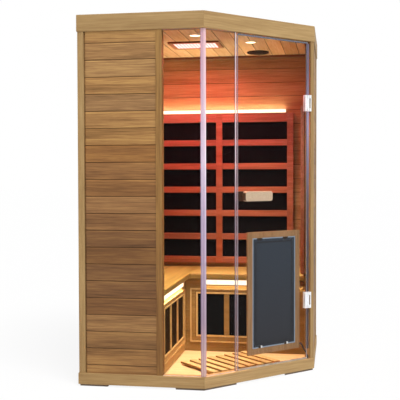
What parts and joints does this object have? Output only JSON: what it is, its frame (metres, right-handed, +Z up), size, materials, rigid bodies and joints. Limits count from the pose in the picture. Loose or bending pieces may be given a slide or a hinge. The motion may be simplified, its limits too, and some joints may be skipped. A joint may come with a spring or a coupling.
{
  "type": "infrared sauna cabin",
  "caption": "Corner infrared sauna cabin of clad wood with an angled glass front, hinged glass door, L-shaped bench, slatted heater guards, light strips and duckboard.",
  "frame": {"origin": "on the ground under the middle of the cabin's box", "axes": "+Z up, +X along the back wall to the right as seen from the front, +Y to the back wall; the angled glass front faces between -Y and +X"},
  "size_m": [1.22, 1.22, 1.95],
  "materials": {
    "cladding_cedar": "oiled tongue-and-groove boards with fine horizontal grain",
    "trim_cedar": "planed and oiled trim boards",
    "lining_cedar": "planed, untreated",
    "tempered_glass": "clear, polished edges",
    "clear_seal": "clear extruded seal",
    "hinge_steel": "polished",
    "handle_beech": "pale, sanded",
    "carbon_heater": "matt black heating film",
    "slate_panel": "satin slate grey",
    "cable_rubber": "matt black sheath",
    "warm_diffuser": "frosted diffuser, lit warm white",
    "red_diffuser": "frosted diffuser, lit red",
    "speaker_grille": "perforated, dark brown",
    "zinc_case": "galvanised case"
  },
  "bodies": {
    "cabin": {"floor_panel": "lining_cedar", "base_board_front": "trim_cedar", "base_board_angled": "trim_cedar", "base_board_right": "trim_cedar", "base_board_back": "trim_cedar", "base_board_left": "trim_cedar", "fascia_front": "trim_cedar", "fascia_angled": "trim_cedar", "fascia_right": "trim_cedar", "fascia_back": "trim_cedar", "fascia_left": "trim_cedar", "ceiling_panel": "lining_cedar", "roof_cover": "cladding_cedar", "control_box": "zinc_case", "post_front_left": "trim_cedar", "post_back_left": "trim_cedar", "post_back_right": "trim_cedar", "front_stile": "trim_cedar", "hinge_post": "trim_cedar", "wall_back": "cladding_cedar", "wall_left": "cladding_cedar", "wall_front": "cladding_cedar", "wall_right": "cladding_cedar", "front_glass": "tempered_glass", "sidelight_glass": "tempered_glass", "glass_corner_strip": "clear_seal", "strike_seal": "clear_seal", "hinge_upper_plate": "hinge_steel", "hinge_lower_plate": "hinge_steel", "bench_top_left": "lining_cedar", "bench_top_back": "lining_cedar", "bench_front_back": "lining_cedar", "bench_heater_back": "carbon_heater", "bench_light_back": "warm_diffuser", "bench_front_left": "lining_cedar", "bench_heater_left": "carbon_heater", "bench_light_left": "warm_diffuser", "heater_guard_back": "lining_cedar", "wall_heater_back": "carbon_heater", "wall_light_back": "warm_diffuser", "heater_guard_left": "lining_cedar", "wall_heater_left": "carbon_heater", "wall_light_left": "warm_diffuser", "heater_guard_right": "lining_cedar", "wall_heater_right": "carbon_heater", "downlight_left": "warm_diffuser", "downlight_right": "warm_diffuser", "ceiling_speaker": "speaker_grille", "colour_light": "red_diffuser"},
    "door": {"door_glass": "tempered_glass", "hinge_upper_clamp": "hinge_steel", "hinge_lower_clamp": "hinge_steel", "handle_outer": "handle_beech", "handle_inner": "handle_beech", "handle_bolt_free": "hinge_steel", "handle_bolt_hinge": "hinge_steel", "door_heater_frame": "lining_cedar", "door_heater_panel": "slate_panel", "door_heater_cable": "cable_rubber"},
    "duckboard": {"duckboard": "lining_cedar"}
  },
  "joints": [
    {"name": "door_swing", "type": "hinge", "parent": "cabin", "child": "door", "pos_m": [0.57394, -0.07896, 0.9], "axis": [0, 0, 1], "range_deg": [0, 90]},
    {"name": "duckboard_lift", "type": "slide", "parent": "cabin", "child": "duckboard", "axis": [0, 0, 1], "range_m": [0, 0.25]}
  ]
}
